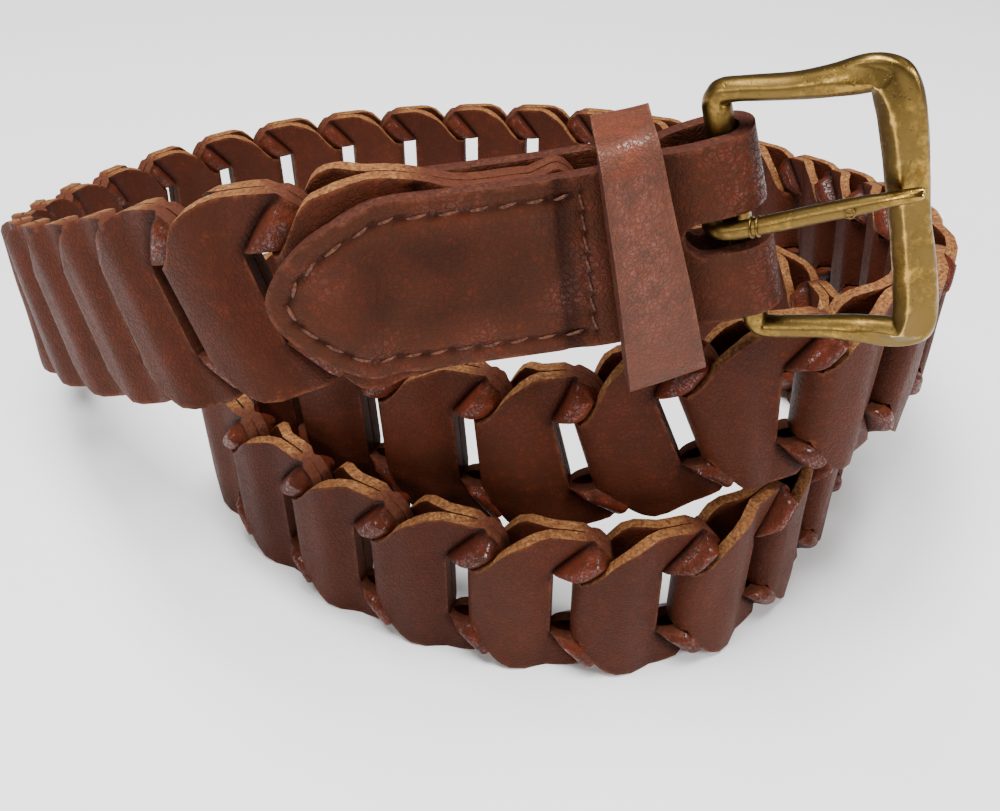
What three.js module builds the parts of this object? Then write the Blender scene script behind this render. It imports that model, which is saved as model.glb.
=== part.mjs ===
// A braided leather link belt, unfastened and coiled on its edge, with a brass heel-bar buckle.
// Millimetres, +Z up. The floor is z = 0, and the origin is on it, under the middle of the coil.
import * as THREE from "three";

// Driving dimensions of the leather
const BELT_WIDTH = 32;
const LEATHER = 2;
const GAP = 0.3;
const LINK_PITCH = 17.9;
const LINK_COUNT = 55;
const SLOT_HEIGHT = 15;
const WAIST_PLAY = 0.8;
const HOLE_WIDTH = 3.4;
const FOLD_ROOM = 1;
const RIM_LENGTH = 4.5;

// Driving dimensions of the strap end, its tab and the keeper
const STRAP_LENGTH = 62.5;
const STRAP_WIDTH = 27;
const TAB_OVERHANG = 1;
const END_LINK_LENGTH = 42;
const BACK_LAYER_START = 17;
const TONGUE_SLOT_HEIGHT = 5.4;
const TONGUE_SLOT_LENGTH = 7.5;
const KEEPER_WIDTH = 9.5;
const KEEPER_AT = 13;
const KEEPER_ROOM_ABOVE = 2.3;
const KEEPER_ROOM_BELOW = 5.6;
const KEEPER_ROOM_FRONT = 1.4;
const KEEPER_CORNER = 2.6;

// Driving dimensions of the buckle
const FRAME_LENGTH = 25;
const FRAME_PLAY = 2.8;
const FRAME_BAR = 4.6;
const FRAME_YAW = 24;
const TONGUE_THICKNESS = 2.7;
const TONGUE_TIP = 2;

// Colours and finishes
const LEATHER_COLOUR = 0x5e2a1d;
const TAB_COLOUR = 0x7a3220;
const BRASS_COLOUR = 0x9a7d3c;

// The belt's route: the middle of its thickness and width, from the heel bar to the free tip.
// Chosen points of a coil of two and a half turns that climbs from the floor to the buckle.
const ROUTE = [
  [41.5, -77.5, 86.3], [30, -77.3, 82.9], [19, -77.5, 80.9], [-3.5, -80, 78.8], [-20, -80, 76.2],
  [-33, -75.5, 71.3], [-44, -67.5, 65], [-54.5, -57, 58], [-65, -46, 51], [-75.5, -33.5, 44],
  [-84, -20.5, 37.5], [-90.5, -4.5, 30.5], [-93, 16, 24], [-88.5, 40, 18.5], [-74.5, 61.3, 16],
  [-45, 78, 16], [-9.5, 86, 16], [26, 85.5, 16], [52, 76, 17], [72.5, 56, 20],
  [87, 31, 25], [91.5, 3.5, 33], [90.5, -22.5, 41], [83.5, -46, 47], [73, -61.5, 50.4],
  [60.5, -70, 50.4], [47, -72, 49], [33, -71.8, 43.8], [19, -71.2, 39.4], [5.5, -67.5, 37.7],
  [-11, -60.5, 36.7], [-22, -54, 35.9], [-31.2, -45, 34.2], [-37.8, -33.5, 31.4], [-40.5, -19.5, 27.5],
  [-38.2, -4.8, 23.2], [-30.8, 8.1, 19.6], [-19.3, 17.7, 17.1], [-5.3, 22.9, 16], [9, 24.6, 16],
  [23.5, 25, 16], [38, 24, 16], [52, 20, 16], [63.5, 14, 16], [72.5, 5.5, 16],
  [78.8, -8, 16], [80, -27, 16], [73, -46.5, 16], [61, -65, 16], [48, -77.7, 16],
  [33, -83.2, 16], [16.5, -82.5, 16], [0, -78.5, 16], [-15.5, -71, 16], [-29, -60.5, 16],
  [-41, -47.5, 16], [-48.5, -31.5, 16], [-51.5, -13.5, 16], [-50, 4, 16],
];

// Where leather lies, measured out from the middle of the belt
const INNER_LEVEL = (LEATHER + GAP) / 2;
const OUTER_LEVEL = INNER_LEVEL + LEATHER + GAP;
const TAB_LEVEL = OUTER_LEVEL + LEATHER + GAP;
const HALF_WIDTH = BELT_WIDTH / 2;
const HALF_STRAP = STRAP_WIDTH / 2;
const HALF_WAIST = (SLOT_HEIGHT - WAIST_PLAY) / 2;
const HALF_SLOT = SLOT_HEIGHT / 2;
const RIM_START = LEATHER + FOLD_ROOM;
const RIM_END = RIM_START + RIM_LENGTH;

// The heel bar fills the turn of the strap, and the window lets the strap's width through
const HEEL_BAR = 2 * (OUTER_LEVEL - LEATHER / 2 - GAP);
const HALF_WINDOW = HALF_STRAP + FRAME_PLAY;

// How finely the curved shapes are cut into flat faces
const BAR_SIDES = 8;
const TURN_STEPS = 6;
const CURL_STEPS = 8;
const LAYER_STEPS = 5;
const CORNER_STEPS = 4;

// How far round the heel bar the tongue's wire is curled, in degrees
const TONGUE_CURL = 235;

const UP = new THREE.Vector3(0, 0, 1);
const route = new THREE.CatmullRomCurve3(ROUTE.map((point) => new THREE.Vector3(...point)), false, "centripetal");
route.arcLengthDivisions = 4000;
const ROUTE_LENGTH = route.getLength();

// The share of the route beyond which it goes on straight
const ROUTE_END = 0.9999;

// The place at a distance from the heel bar, with the belt's own directions there:
// along points to the buckle, out to the belt's outer face, and across up its width.
// No place is lower than the floor lets the belt's lower edge be.
function beltFrame(distance) {
  const share = THREE.MathUtils.clamp(distance / ROUTE_LENGTH, 0, ROUTE_END);
  const origin = route.getPointAt(share);
  origin.z = Math.max(origin.z, HALF_WIDTH);
  const along = route.getTangentAt(share).negate();
  origin.addScaledVector(along, share * ROUTE_LENGTH - distance);
  const across = UP.clone().addScaledVector(along, -UP.dot(along)).normalize();
  const out = new THREE.Vector3().crossVectors(along, across);
  return { origin, along, out, across };
}

// Turns a scene node into the belt's directions at a distance from the heel bar
function placeOnBelt(node, distance) {
  const frame = beltFrame(distance);
  const axes = new THREE.Matrix4().makeBasis(frame.along, frame.out.clone().negate(), frame.across);
  node.position.copy(frame.origin);
  node.quaternion.setFromRotationMatrix(axes);
  return node;
}

// A closed mesh of leather laid on the belt's route. Its corners are given as the distance
// towards the buckle from foldAt, the distance out and the height across the belt.
function beltMesh(name, colour, solid, foldAt) {
  const mesh = new THREE.Mesh(new THREE.BufferGeometry(), leatherMaterial(colour));
  mesh.name = name;
  placeOnBelt(mesh, foldAt);
  mesh.updateMatrix();
  const toMesh = mesh.matrix.clone().invert();
  const corners = solid.corners.map(({ along, out, across }) => {
    const frame = beltFrame(foldAt - along);
    return frame.origin.addScaledVector(frame.out, out).addScaledVector(frame.across, across).applyMatrix4(toMesh);
  });
  mesh.geometry.setFromPoints(corners);
  mesh.geometry.setIndex(solid.triangles);
  mesh.geometry.computeVertexNormals();
  return mesh;
}

function leatherMaterial(colour) {
  return new THREE.MeshStandardMaterial({ color: colour, roughness: 0.5, metalness: 0 });
}

function brassMaterial() {
  return new THREE.MeshStandardMaterial({ color: BRASS_COLOUR, roughness: 0.35, metalness: 1 });
}

// A strip of leather that follows a line of stations. Each station has its place along and out
// from the belt's middle, its half width, and half the height of a slot where a slot passes.
function leatherStrip(stations) {
  const corners = [];
  const triangles = [];
  const sides = stations.map((station, index) => {
    const before = stations[Math.max(index - 1, 0)];
    const after = stations[Math.min(index + 1, stations.length - 1)];
    const normal = mitredNormal(before, station, after);
    const heights = station.slot
      ? [-station.half, -station.slot, station.slot, station.half]
      : [-station.half, station.half];
    const side = (sign) => heights.map((across) => {
      const along = station.along + sign * normal.along * LEATHER / 2;
      const out = station.out + sign * normal.out * LEATHER / 2;
      return corners.push({ along, out, across }) - 1;
    });
    return { heights, front: side(1), back: side(-1), slot: Boolean(station.slot) };
  });
  const quad = (a, b, c, d) => triangles.push(a, b, c, a, c, d);
  const lastOf = (list) => list[list.length - 1];
  const wallFacingOn = (s, low, high) => quad(s.front[high], s.front[low], s.back[low], s.back[high]);
  const wallFacingBack = (s, low, high) => quad(s.front[low], s.front[high], s.back[high], s.back[low]);
  for (let i = 0; i + 1 < sides.length; i += 1) {
    const here = sides[i];
    const next = sides[i + 1];
    const open = here.slot && next.slot;
    const spans = open ? [[0, 1], [2, 3]] : [[0, here.heights.length - 1]];
    for (const [low, high] of spans) {
      const nextLow = open ? low : 0;
      const nextHigh = open ? high : next.heights.length - 1;
      zip(triangles, here, next, low, high, nextLow, nextHigh);
      quad(next.front[nextLow], here.front[low], here.back[low], next.back[nextLow]);
      quad(here.front[high], next.front[nextHigh], next.back[nextHigh], here.back[high]);
    }
    const openBefore = i > 0 && sides[i - 1].slot && here.slot;
    if (open && !openBefore) wallFacingOn(here, 1, 2);
    if (!open && openBefore) wallFacingBack(here, 1, 2);
  }
  wallFacingBack(sides[0], 0, sides[0].heights.length - 1);
  wallFacingOn(lastOf(sides), 0, lastOf(sides).heights.length - 1);
  return { corners, triangles };
}

// Fills the front and back faces between two stations that may have unlike numbers of corners
function zip(triangles, here, next, low, high, nextLow, nextHigh) {
  let i = low;
  let j = nextLow;
  while (i < high || j < nextHigh) {
    const stepNext = i === high || (j < nextHigh && next.heights[j + 1] <= here.heights[i + 1]);
    if (stepNext) {
      triangles.push(here.front[i], next.front[j], next.front[j + 1]);
      triangles.push(here.back[i], next.back[j + 1], next.back[j]);
      j += 1;
    } else {
      triangles.push(here.front[i], next.front[j], here.front[i + 1]);
      triangles.push(here.back[i], here.back[i + 1], next.back[j]);
      i += 1;
    }
  }
}

// The direction in which a strip is thickened at a station, stretched at a bend so that the
// leather keeps its thickness on both sides of it
function mitredNormal(before, station, after) {
  const directions = [[before, station], [station, after]].map(([a, b]) => {
    const length = Math.hypot(b.along - a.along, b.out - a.out);
    return length > 0 ? { along: (b.along - a.along) / length, out: (b.out - a.out) / length } : null;
  });
  const first = directions[0] ?? directions[1];
  const second = directions[1] ?? directions[0];
  const along = -(first.out + second.out);
  const out = first.along + second.along;
  const length = Math.hypot(along, out);
  const stretch = 2 / length;
  return { along: along / length * stretch, out: out / length * stretch };
}

// A strip's stations on the outer layer, repeated in mirror image on the inner layer, so that
// the strip folds round at the first of them
function foldedStations(outerLayer) {
  const innerLayer = outerLayer.map((station) => ({ ...station, out: -station.out })).reverse();
  return [...innerLayer, ...outerLayer];
}

// The outline of a link beyond its fold: places along as shares of the pitch, and half widths
// as shares of the belt's half width
const LINK_OUTLINE = [
  { along: 0.43, half: 1 },
  { along: 0.63, half: 1 },
  { along: 0.81, half: 0.95 },
  { along: 1.0, half: 0.85 },
  { along: 1.17, half: 0.78 },
  { along: 1.3, half: 0.65 },
  { along: 1.42, half: 0.4 },
];

// The half width of a link at a distance from its fold
function linkHalfWidth(distance) {
  const share = distance / LINK_PITCH;
  const next = LINK_OUTLINE.findIndex((row) => row.along >= share);
  if (next <= 0) return LINK_OUTLINE.at(next).half * HALF_WIDTH;
  const a = LINK_OUTLINE[next - 1];
  const b = LINK_OUTLINE[next];
  return THREE.MathUtils.mapLinear(share, a.along, b.along, a.half, b.half) * HALF_WIDTH;
}

// The fold's stations, where the waist wraps the rims of the link before
function foldStart() {
  return [
    { along: LEATHER / 2, out: INNER_LEVEL + LEATHER / 2 + GAP / 2, half: HALF_WAIST },
    { along: LEATHER + GAP, out: OUTER_LEVEL, half: HALF_WAIST },
    { along: RIM_END + GAP, out: OUTER_LEVEL, half: linkHalfWidth(RIM_END + GAP) },
  ];
}

// One link: a waist folded through both slots of the link before, two lobes that cover that
// link's rims, and a slot near its end for the next waist.
function linkSolid() {
  const slotStart = LINK_PITCH - HOLE_WIDTH;
  const slotEnd = LINK_PITCH + RIM_START;
  const lobeEnd = LINK_PITCH + RIM_END;
  const middleOfDrop = (RIM_END + GAP + slotStart) / 2;
  const middleOfRim = (slotEnd + lobeEnd) / 2;
  const flat = (along, slot) => ({ along, out: INNER_LEVEL, half: linkHalfWidth(along), slot });
  return leatherStrip(foldedStations([
    ...foldStart(),
    { along: middleOfDrop, out: (INNER_LEVEL + OUTER_LEVEL) / 2, half: linkHalfWidth(middleOfDrop) },
    flat(slotStart, HALF_SLOT),
    flat(slotEnd, HALF_SLOT),
    flat(middleOfRim),
    flat(lobeEnd),
  ]));
}

// The piece that joins the strap to the links: a link's waist and fold, with two plain layers
// that run between the strap's layers. Lengths are shares of its own length.
function endLinkSolid() {
  const dropEnd = LINK_PITCH - HOLE_WIDTH;
  const middleOfDrop = (RIM_END + GAP + dropEnd) / 2;
  const plain = [
    { along: 0.45, half: 0.95 },
    { along: 0.58, half: 0.83 },
    { along: 0.8, half: 0.8 },
    { along: 1, half: 0.7 },
  ];
  return leatherStrip(foldedStations([
    ...foldStart(),
    { along: middleOfDrop, out: (INNER_LEVEL + OUTER_LEVEL) / 2, half: HALF_WIDTH },
    { along: dropEnd, out: INNER_LEVEL, half: HALF_WIDTH },
    ...plain.map((row) => ({
      along: row.along * END_LINK_LENGTH,
      out: INNER_LEVEL,
      half: row.half * HALF_WIDTH,
    })),
  ]));
}

// The strap: a pointed tab on the outer face, a turn round the heel bar with a slot for the
// tongue, and a plain layer on the inner face.
function strapSolid() {
  const overFold = RIM_END + GAP + LEATHER / 2;
  const onLayers = LINK_PITCH - HOLE_WIDTH;
  const slotStart = STRAP_LENGTH - TONGUE_SLOT_LENGTH;
  const halfSlot = TONGUE_SLOT_HEIGHT / 2;
  const point = [
    { share: 0, half: 0.07 },
    { share: 0.1, half: 0.28 },
    { share: 0.28, half: 0.55 },
    { share: 0.58, half: 0.85 },
    { share: 1, half: 0.985 },
  ];
  const tip = point.map((row, index) => ({
    along: THREE.MathUtils.lerp(-TAB_OVERHANG, onLayers, row.share),
    out: index + 1 < point.length ? TAB_LEVEL : OUTER_LEVEL,
    half: row.half * HALF_STRAP,
  }));
  tip.splice(-1, 0, { along: overFold, out: TAB_LEVEL, half: 0.9 * HALF_STRAP });
  const middle = spaced(onLayers, slotStart, LAYER_STEPS).slice(1);
  const front = middle.map((along) => ({ along, out: OUTER_LEVEL, half: HALF_STRAP }));
  front.push({ along: slotStart, out: OUTER_LEVEL, half: HALF_STRAP, slot: halfSlot });
  const fold = [];
  for (let step = 0; step <= TURN_STEPS; step += 1) {
    const angle = Math.PI / 2 - Math.PI * step / TURN_STEPS;
    const along = STRAP_LENGTH + OUTER_LEVEL * Math.cos(angle);
    fold.push({ along, out: OUTER_LEVEL * Math.sin(angle), half: HALF_STRAP, slot: halfSlot });
  }
  const back = spaced(slotStart, BACK_LAYER_START, LAYER_STEPS).slice(1).map((along) => ({
    along,
    out: -OUTER_LEVEL,
    half: HALF_STRAP,
  }));
  back.unshift({ along: slotStart, out: -OUTER_LEVEL, half: HALF_STRAP, slot: halfSlot });
  back.push({ along: BACK_LAYER_START - LEATHER, out: -OUTER_LEVEL, half: 0.8 * HALF_STRAP });
  return leatherStrip([...tip, ...front, ...fold, ...back]);
}

// Evenly spaced numbers from one value up to another, without the last
function spaced(from, to, count) {
  return Array.from({ length: count }, (unused, index) => THREE.MathUtils.lerp(from, to, index / count));
}

// The keeper: a closed loop of leather round the strap, slack below it for the belt's tip
function keeper() {
  const inner = {
    left: -OUTER_LEVEL - LEATHER / 2 - GAP,
    right: OUTER_LEVEL + LEATHER / 2 + KEEPER_ROOM_FRONT,
    bottom: -HALF_STRAP - KEEPER_ROOM_BELOW,
    top: HALF_STRAP + KEEPER_ROOM_ABOVE,
  };
  const outer = {
    left: inner.left - LEATHER,
    right: inner.right + LEATHER,
    bottom: inner.bottom - LEATHER,
    top: inner.top + LEATHER,
  };
  const shape = roundedRectangle(new THREE.Shape(), outer, KEEPER_CORNER);
  shape.holes.push(roundedRectangle(new THREE.Path(), inner, KEEPER_CORNER - LEATHER));
  const geometry = new THREE.ExtrudeGeometry(shape, {
    depth: KEEPER_WIDTH,
    bevelEnabled: false,
    curveSegments: CORNER_STEPS,
  });
  geometry.translate(0, 0, -KEEPER_WIDTH / 2);
  const mesh = new THREE.Mesh(geometry, leatherMaterial(LEATHER_COLOUR));
  mesh.name = "keeper";
  mesh.quaternion.setFromRotationMatrix(new THREE.Matrix4().makeBasis(
    new THREE.Vector3(0, -1, 0),
    new THREE.Vector3(0, 0, 1),
    new THREE.Vector3(-1, 0, 0),
  ));
  return placeOnBelt(new THREE.Group(), KEEPER_AT).add(mesh);
}

function roundedRectangle(path, box, radius) {
  path.moveTo(box.left + radius, box.bottom);
  path.lineTo(box.right - radius, box.bottom);
  path.absarc(box.right - radius, box.bottom + radius, radius, -Math.PI / 2, 0);
  path.lineTo(box.right, box.top - radius);
  path.absarc(box.right - radius, box.top - radius, radius, 0, Math.PI / 2);
  path.lineTo(box.left + radius, box.top);
  path.absarc(box.left + radius, box.top - radius, radius, Math.PI / 2, Math.PI);
  path.lineTo(box.left, box.bottom + radius);
  path.absarc(box.left + radius, box.bottom + radius, radius, Math.PI, Math.PI * 1.5);
  return path;
}

// A closed solid through rings of corners: a loop of rings, or a run of them with flat ends
function loft(rings, closed) {
  const sides = rings[0].length;
  const triangles = [];
  const corner = (ring, side) => (ring % rings.length) * sides + (side % sides);
  const joins = closed ? rings.length : rings.length - 1;
  for (let ring = 0; ring < joins; ring += 1) {
    for (let side = 0; side < sides; side += 1) {
      const a = corner(ring, side);
      const b = corner(ring, side + 1);
      const c = corner(ring + 1, side + 1);
      const d = corner(ring + 1, side);
      triangles.push(a, b, c, a, c, d);
    }
  }
  for (let side = 1; !closed && side + 1 < sides; side += 1) {
    triangles.push(corner(0, 0), corner(0, side + 1), corner(0, side));
    triangles.push(corner(joins, 0), corner(joins, side), corner(joins, side + 1));
  }
  const geometry = new THREE.BufferGeometry().setFromPoints(rings.flat());
  geometry.setIndex(triangles);
  geometry.computeVertexNormals();
  return geometry;
}

// A ring of corners round a point of a bar: wide lies in the plane of the bar's path, and deep
// across it, along the y axis
function barRing(centre, direction, wide, deep) {
  const inPlane = new THREE.Vector3(direction.z, 0, -direction.x);
  const ring = [];
  for (let side = 0; side < BAR_SIDES; side += 1) {
    const angle = (side + 0.5) / BAR_SIDES * 2 * Math.PI;
    const corner = centre.clone().addScaledVector(inPlane, Math.cos(angle) * wide / 2);
    corner.y += Math.sin(angle) * deep / 2;
    ring.push(corner);
  }
  return ring;
}

// The upper half of the buckle's frame, from the heel bar to the middle of the end bar.
// along is a share of the frame's length and window of half its window's height. Above, wide
// and deep are shares of the frame's bar, which is a round heel bar where both are left out.
const FRAME_HALF = [
  { along: 0, window: 0.93, above: 0 },
  { along: 0, window: 1.0, above: 0.2 },
  { along: 0.03, window: 1.0, above: 0.48, wide: 0.82, deep: 0.88 },
  { along: 0.13, window: 1.0, above: 0.5, wide: 0.72, deep: 0.85 },
  { along: 0.4, window: 1.0, above: 0.42, wide: 0.74, deep: 0.9 },
  { along: 0.62, window: 1.0, above: 0.5, wide: 0.9, deep: 1.0 },
  { along: 0.78, window: 1.0, above: 0.64, wide: 1.15, deep: 1.05 },
  { along: 0.865, window: 1.0, above: 0.5, wide: 1.45, deep: 1.1 },
  { along: 0.89, window: 0.9, above: 0, wide: 1.4, deep: 1.1 },
  { along: 0.895, window: 0.5, above: 0, wide: 1.35, deep: 1.05 },
  { along: 0.89, window: 0.12, above: 0, wide: 1.25, deep: 0.92 },
];

// The frame's loop of sections, worked out from its upper half
function buckleFrame() {
  const half = FRAME_HALF.map((row) => ({
    centre: new THREE.Vector3(row.along * FRAME_LENGTH, 0, row.window * HALF_WINDOW + row.above * FRAME_BAR),
    wide: row.wide ? row.wide * FRAME_BAR : HEEL_BAR,
    deep: row.deep ? row.deep * FRAME_BAR : HEEL_BAR,
  }));
  const lower = half.map((section) => ({
    ...section,
    centre: section.centre.clone().multiply(new THREE.Vector3(1, 1, -1)),
  })).reverse();
  const loop = [...half, ...lower];
  const rings = loop.map((section, index) => {
    const before = loop[(index + loop.length - 1) % loop.length].centre;
    const after = loop[(index + 1) % loop.length].centre;
    const direction = after.clone().sub(before).normalize();
    return barRing(section.centre, direction, section.wide, section.deep);
  });
  const mesh = new THREE.Mesh(loft(rings, true), brassMaterial());
  mesh.name = "buckle_frame";
  return mesh;
}

// The tongue: a round wire curled round the heel bar, lying over the frame's end bar
function buckleTongue() {
  const radius = TONGUE_THICKNESS / 2;
  const curl = HEEL_BAR / 2 + GAP + radius;
  const restsAt = FRAME_HALF.at(-1).deep * FRAME_BAR / 2 + GAP + TONGUE_TIP / 2;
  const tip = FRAME_LENGTH;
  const line = [
    { along: tip, out: restsAt, thick: TONGUE_TIP },
    { along: tip * 0.8, out: restsAt, thick: TONGUE_TIP },
    { along: tip * 0.7, out: restsAt, thick: TONGUE_THICKNESS },
    { along: tip * 0.35, out: (restsAt + curl) / 2, thick: TONGUE_THICKNESS },
  ];
  for (let step = 0; step <= CURL_STEPS; step += 1) {
    const angle = Math.PI / 2 + THREE.MathUtils.degToRad(TONGUE_CURL) * step / CURL_STEPS;
    line.push({ along: curl * Math.cos(angle), out: curl * Math.sin(angle), thick: TONGUE_THICKNESS });
  }
  const centres = line.map((row) => new THREE.Vector3(row.along, -row.out, 0));
  const rings = line.map((row, index) => {
    const before = centres[Math.max(index - 1, 0)];
    const after = centres[Math.min(index + 1, centres.length - 1)];
    const direction = after.clone().sub(before).normalize();
    const sideways = new THREE.Vector3(-direction.y, direction.x, 0);
    return Array.from({ length: BAR_SIDES }, (unused, side) => {
      const angle = (side + 0.5) / BAR_SIDES * 2 * Math.PI;
      return centres[index].clone()
        .addScaledVector(sideways, Math.cos(angle) * row.thick / 2)
        .addScaledVector(UP, Math.sin(angle) * row.thick / 2);
    });
  });
  const mesh = new THREE.Mesh(loft(rings, false), brassMaterial());
  mesh.name = "buckle_tongue";
  return mesh;
}

// The frame and tongue, turned out from the strap about the heel bar
function buckle() {
  const turned = new THREE.Group();
  turned.rotation.z = -THREE.MathUtils.degToRad(FRAME_YAW);
  turned.add(buckleFrame(), buckleTongue());
  return placeOnBelt(new THREE.Group(), 0).add(turned);
}

const belt = new THREE.Group();
belt.add(buckle());
belt.add(beltMesh("buckle_strap", TAB_COLOUR, strapSolid(), STRAP_LENGTH));
belt.add(beltMesh("end_link", LEATHER_COLOUR, endLinkSolid(), STRAP_LENGTH));
belt.add(keeper());
for (let number = 1; number <= LINK_COUNT; number += 1) {
  const name = `link_${String(number).padStart(2, "0")}`;
  belt.add(beltMesh(name, LEATHER_COLOUR, linkSolid(), STRAP_LENGTH + number * LINK_PITCH));
}

// The belt stands on its lowest edge, with the middle of its outer size over the origin
belt.updateMatrixWorld(true);
const extent = new THREE.Box3().setFromObject(belt, true);
const middle = extent.getCenter(new THREE.Vector3());
belt.position.set(-middle.x, -middle.y, -extent.min.z);

export default belt;
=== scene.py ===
"""A braided leather link belt, unfastened and coiled on its edge, with a brass heel-bar buckle.

Metres, +Z up. The belt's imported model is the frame, and every piece here is laid on it.
"""
import math
import random

import bpy
import numpy as np
from mathutils import Matrix, Vector, noise


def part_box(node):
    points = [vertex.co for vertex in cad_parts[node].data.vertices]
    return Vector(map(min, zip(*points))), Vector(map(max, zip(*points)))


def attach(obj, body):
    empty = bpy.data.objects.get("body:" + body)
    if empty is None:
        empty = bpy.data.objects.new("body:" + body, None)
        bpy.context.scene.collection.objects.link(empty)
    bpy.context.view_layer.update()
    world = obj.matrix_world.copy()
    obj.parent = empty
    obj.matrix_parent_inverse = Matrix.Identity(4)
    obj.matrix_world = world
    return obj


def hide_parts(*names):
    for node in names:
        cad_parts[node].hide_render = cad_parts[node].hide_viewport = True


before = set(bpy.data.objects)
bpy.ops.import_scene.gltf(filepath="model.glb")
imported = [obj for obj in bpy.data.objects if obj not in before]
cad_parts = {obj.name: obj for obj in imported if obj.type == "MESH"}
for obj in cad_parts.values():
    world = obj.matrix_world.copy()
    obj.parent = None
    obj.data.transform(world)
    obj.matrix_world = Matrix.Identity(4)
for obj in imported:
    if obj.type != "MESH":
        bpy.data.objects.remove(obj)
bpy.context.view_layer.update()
bpy.ops.object.select_all(action="DESELECT")

# The camera
# It stands above and in front of the coil and looks down on it, as the photograph was taken.
MM = 0.001
CAMERA_PLACE = (9.9 * MM, -209.4 * MM, 158.3 * MM)
CAMERA_PITCH = 38.4
FOCAL_LENGTH_PIXELS = 1090
PICTURE_WIDTH_PIXELS = 1000
SENSOR_WIDTH = 36

bpy.ops.object.camera_add(location=CAMERA_PLACE, rotation=(math.radians(90 - CAMERA_PITCH), 0, 0))
camera = bpy.context.object
camera.name = "camera"
camera.data.sensor_width = SENSOR_WIDTH
camera.data.lens = FOCAL_LENGTH_PIXELS / PICTURE_WIDTH_PIXELS * SENSOR_WIDTH
camera.data.clip_start = 10 * MM
bpy.context.scene.camera = camera

# The floor and the light
# A plain white table, with large soft lamps above, at the left and at the right.
FLOOR_SIZE = 8
LAMPS_AIM = Vector((0, 0, 50 * MM))
bpy.ops.mesh.primitive_plane_add(size=FLOOR_SIZE, location=(0, 0, 0))
floor = bpy.context.object
floor.name = "floor"
white = bpy.data.materials.new("white_table")
white.use_nodes = True
white.node_tree.nodes["Principled BSDF"].inputs["Base Color"].default_value = (0.92, 0.92, 0.92, 1)
white.node_tree.nodes["Principled BSDF"].inputs["Roughness"].default_value = 0.9
floor.data.materials.append(white)

world = bpy.data.worlds.new("studio")
world.use_nodes = True
world.node_tree.nodes["Background"].inputs["Color"].default_value = (1, 1, 1, 1)
world.node_tree.nodes["Background"].inputs["Strength"].default_value = 0.14
bpy.context.scene.world = world


def softbox(name, place, size, power):
    """A square lamp that looks at the belt."""
    bpy.ops.object.light_add(type="AREA", location=place)
    lamp = bpy.context.object
    lamp.name = name
    lamp.data.size = size
    lamp.data.energy = power
    lamp.rotation_euler = (LAMPS_AIM - Vector(place)).to_track_quat("-Z", "Y").to_euler()


softbox("lamp_above", place=(-0.1, -0.1, 0.9), size=0.5, power=20)
softbox("lamp_left", place=(-0.6, -0.5, 0.45), size=0.25, power=3)
softbox("lamp_right", place=(0.62, -0.4, 0.42), size=0.2, power=5)

# The leather links
# Each link is one piece of waxed leather, cut flat with a waist and two slots, and folded in
# half at its waist. The waist goes through both slots of the link before it.
BELT_WIDTH = 32 * MM
LEATHER = 2 * MM
GAP = 0.3 * MM
LINK_PITCH = 17.9 * MM
LINK_COUNT = 55
SLOT_HEIGHT = 15 * MM
WAIST_PLAY = 0.8 * MM
HOLE_WIDTH = 3.4 * MM
FOLD_ROOM = 1 * MM
RIM_LENGTH = 4.5 * MM
STRAP_LENGTH = 62.5 * MM

INNER_LEVEL = (LEATHER + GAP) / 2
OUTER_LEVEL = INNER_LEVEL + LEATHER + GAP
HALF_WIDTH = BELT_WIDTH / 2
RIM_START = LEATHER + FOLD_ROOM
RIM_END = RIM_START + RIM_LENGTH

# The line that the belt follows, in millimetres from the heel bar to the free tip
ROUTE = [
    (41.5, -77.5, 86.3), (30, -77.3, 82.9), (19, -77.5, 80.9), (-3.5, -80, 78.8), (-20, -80, 76.2),
    (-33, -75.5, 71.3), (-44, -67.5, 65), (-54.5, -57, 58), (-65, -46, 51), (-75.5, -33.5, 44),
    (-84, -20.5, 37.5), (-90.5, -4.5, 30.5), (-93, 16, 24), (-88.5, 40, 18.5), (-74.5, 61.3, 16),
    (-45, 78, 16), (-9.5, 86, 16), (26, 85.5, 16), (52, 76, 17), (72.5, 56, 20),
    (87, 31, 25), (91.5, 3.5, 33), (90.5, -22.5, 41), (83.5, -46, 47), (73, -61.5, 50.4),
    (60.5, -70, 50.4), (47, -72, 49), (33, -71.8, 43.8), (19, -71.2, 39.4), (5.5, -67.5, 37.7),
    (-11, -60.5, 36.7), (-22, -54, 35.9), (-31.2, -45, 34.2), (-37.8, -33.5, 31.4), (-40.5, -19.5, 27.5),
    (-38.2, -4.8, 23.2), (-30.8, 8.1, 19.6), (-19.3, 17.7, 17.1), (-5.3, 22.9, 16), (9, 24.6, 16),
    (23.5, 25, 16), (38, 24, 16), (52, 20, 16), (63.5, 14, 16), (72.5, 5.5, 16),
    (78.8, -8, 16), (80, -27, 16), (73, -46.5, 16), (61, -65, 16), (48, -77.7, 16),
    (33, -83.2, 16), (16.5, -82.5, 16), (0, -78.5, 16), (-15.5, -71, 16), (-29, -60.5, 16),
    (-41, -47.5, 16), (-48.5, -31.5, 16), (-51.5, -13.5, 16), (-50, 4, 16),
]


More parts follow.
